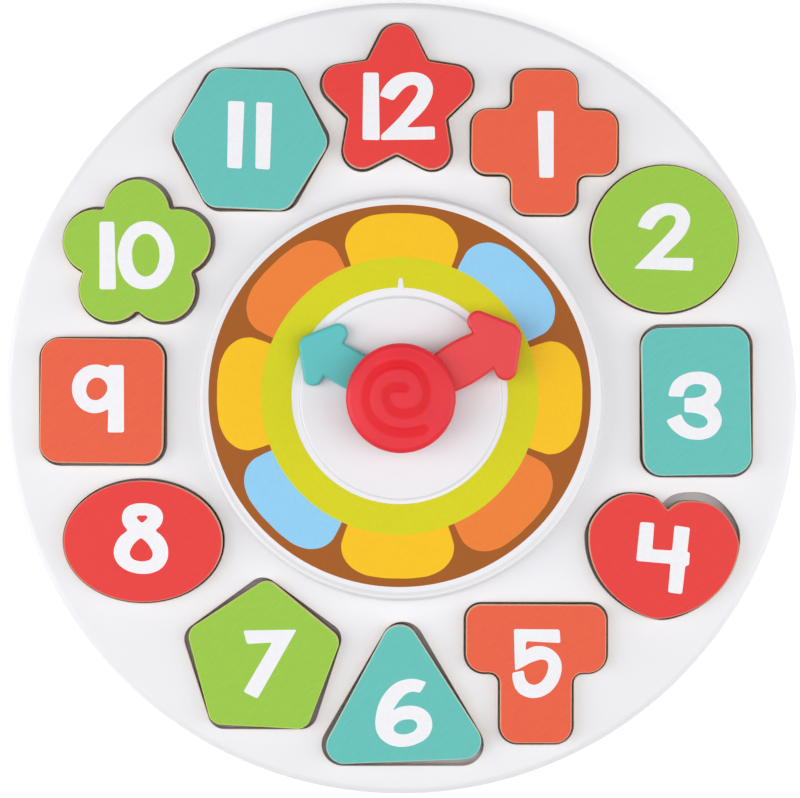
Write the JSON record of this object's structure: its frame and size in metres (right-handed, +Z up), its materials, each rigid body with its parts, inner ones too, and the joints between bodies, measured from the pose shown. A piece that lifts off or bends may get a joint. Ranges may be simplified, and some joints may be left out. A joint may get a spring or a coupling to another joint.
{
  "type": "shape sorting clock",
  "caption": "Round toy tray with loose numbered shape blocks in fitted pockets round a raised dial, with turning arrow hands under a domed push button.",
  "frame": {"origin": "on the table under the middle of the toy, which lies flat on its feet", "axes": "+Z up, +Y towards twelve, +X towards three"},
  "size_m": [0.27, 0.27, 0.0479],
  "materials": {
    "white_plastic": "smooth moulded, soft sheen",
    "sticker": "printed ring in brown, yellow, orange, light blue and lime",
    "red_print": "printed face on brown edged board, white number",
    "coral_print": "printed face on brown edged board, white number",
    "green_print": "printed face on brown edged board, white number",
    "teal_print": "printed face on brown edged board, white number",
    "teal_plastic": "smooth moulded",
    "red_plastic": "smooth moulded",
    "red_clear_plastic": "slightly see-through, with a raised spiral",
    "rubber": "matt",
    "steel": "plain",
    "nickel": "plated",
    "board": "lacquered board",
    "black_plastic": "matt",
    "lamp_lens": "clear",
    "cone_paper": "pressed paper",
    "cell_jacket": "plain jacket",
    "grey_plastic": "matt"
  },
  "bodies": {
    "base": {"top_shell": "white_plastic", "rear_cover": "white_plastic", "cover_screw_1": "steel", "cover_screw_2": "steel", "cover_screw_3": "steel", "cover_screw_4": "steel", "cover_screw_5": "steel", "cover_screw_6": "steel", "cover_screw_7": "steel", "cover_screw_8": "steel", "rubber_foot_1": "rubber", "rubber_foot_2": "rubber", "rubber_foot_3": "rubber", "rubber_foot_4": "rubber", "dial_sticker": "sticker", "hand_spacer": "white_plastic", "hand_retainer": "white_plastic", "circuit_board": "board", "board_screw_1": "steel", "board_screw_2": "steel", "tact_switch": "black_plastic", "button_lamp_1": "lamp_lens", "button_lamp_2": "lamp_lens", "speaker_frame": "steel", "speaker_cone": "cone_paper", "speaker_magnet": "steel", "battery_1": "cell_jacket", "battery_2": "cell_jacket", "battery_spring_1": "nickel", "battery_spring_2": "nickel", "contact_bridge": "nickel", "contact_positive": "nickel", "contact_negative": "nickel", "power_switch_body": "steel", "button_spring": "steel"},
    "block_01_cross": {"block_01_cross": "coral_print"},
    "block_02_circle": {"block_02_circle": "green_print"},
    "block_03_rectangle": {"block_03_rectangle": "teal_print"},
    "block_04_heart": {"block_04_heart": "red_print"},
    "block_05_tee": {"block_05_tee": "coral_print"},
    "block_06_triangle": {"block_06_triangle": "teal_print"},
    "block_07_pentagon": {"block_07_pentagon": "green_print"},
    "block_08_oval": {"block_08_oval": "red_print"},
    "block_09_square": {"block_09_square": "coral_print"},
    "block_10_flower": {"block_10_flower": "green_print"},
    "block_11_hexagon": {"block_11_hexagon": "teal_print"},
    "block_12_star": {"block_12_star": "red_print"},
    "hour_hand_turning": {"hour_hand": "teal_plastic"},
    "minute_hand_turning": {"minute_hand": "red_plastic"},
    "button": {"centre_button": "red_clear_plastic", "button_stem": "white_plastic", "button_clip": "steel"},
    "power_knob": {"power_switch_knob": "grey_plastic"},
    "door": {"battery_door": "white_plastic", "battery_door_screw": "steel"}
  },
  "joints": [
    {"name": "lift_01_cross", "type": "slide", "parent": "base", "child": "block_01_cross", "axis": [0, 0, 1], "range_m": [0, 0.03]},
    {"name": "lift_02_circle", "type": "slide", "parent": "base", "child": "block_02_circle", "axis": [0, 0, 1], "range_m": [0, 0.03]},
    {"name": "lift_03_rectangle", "type": "slide", "parent": "base", "child": "block_03_rectangle", "axis": [0, 0, 1], "range_m": [0, 0.03]},
    {"name": "lift_04_heart", "type": "slide", "parent": "base", "child": "block_04_heart", "axis": [0, 0, 1], "range_m": [0, 0.03]},
    {"name": "lift_05_tee", "type": "slide", "parent": "base", "child": "block_05_tee", "axis": [0, 0, 1], "range_m": [0, 0.03]},
    {"name": "lift_06_triangle", "type": "slide", "parent": "base", "child": "block_06_triangle", "axis": [0, 0, 1], "range_m": [0, 0.03]},
    {"name": "lift_07_pentagon", "type": "slide", "parent": "base", "child": "block_07_pentagon", "axis": [0, 0, 1], "range_m": [0, 0.03]},
    {"name": "lift_08_oval", "type": "slide", "parent": "base", "child": "block_08_oval", "axis": [0, 0, 1], "range_m": [0, 0.03]},
    {"name": "lift_09_square", "type": "slide", "parent": "base", "child": "block_09_square", "axis": [0, 0, 1], "range_m": [0, 0.03]},
    {"name": "lift_10_flower", "type": "slide", "parent": "base", "child": "block_10_flower", "axis": [0, 0, 1], "range_m": [0, 0.03]},
    {"name": "lift_11_hexagon", "type": "slide", "parent": "base", "child": "block_11_hexagon", "axis": [0, 0, 1], "range_m": [0, 0.03]},
    {"name": "lift_12_star", "type": "slide", "parent": "base", "child": "block_12_star", "axis": [0, 0, 1], "range_m": [0, 0.03]},
    {"name": "hour_hand_turn", "type": "hinge", "parent": "base", "child": "hour_hand_turning", "pos_m": [0, 0, 0.0356], "axis": [0, 0, 1], "continuous": true},
    {"name": "minute_hand_turn", "type": "hinge", "parent": "base", "child": "minute_hand_turning", "pos_m": [0, 0, 0.0401], "axis": [0, 0, 1], "continuous": true},
    {"name": "button_press", "type": "slide", "parent": "base", "child": "button", "axis": [0, 0, -1], "range_m": [0, 0.0012], "stiffness_N_per_m": 300, "springref_m": -0.004, "deforming": ["button_spring"]},
    {"name": "power_slide", "type": "slide", "parent": "base", "child": "power_knob", "axis": [1, 0, 0], "range_m": [0, 0.004]},
    {"name": "battery_door_lift", "type": "slide", "parent": "base", "child": "door", "axis": [0, 0, -1], "range_m": [0, 0.02]}
  ]
}
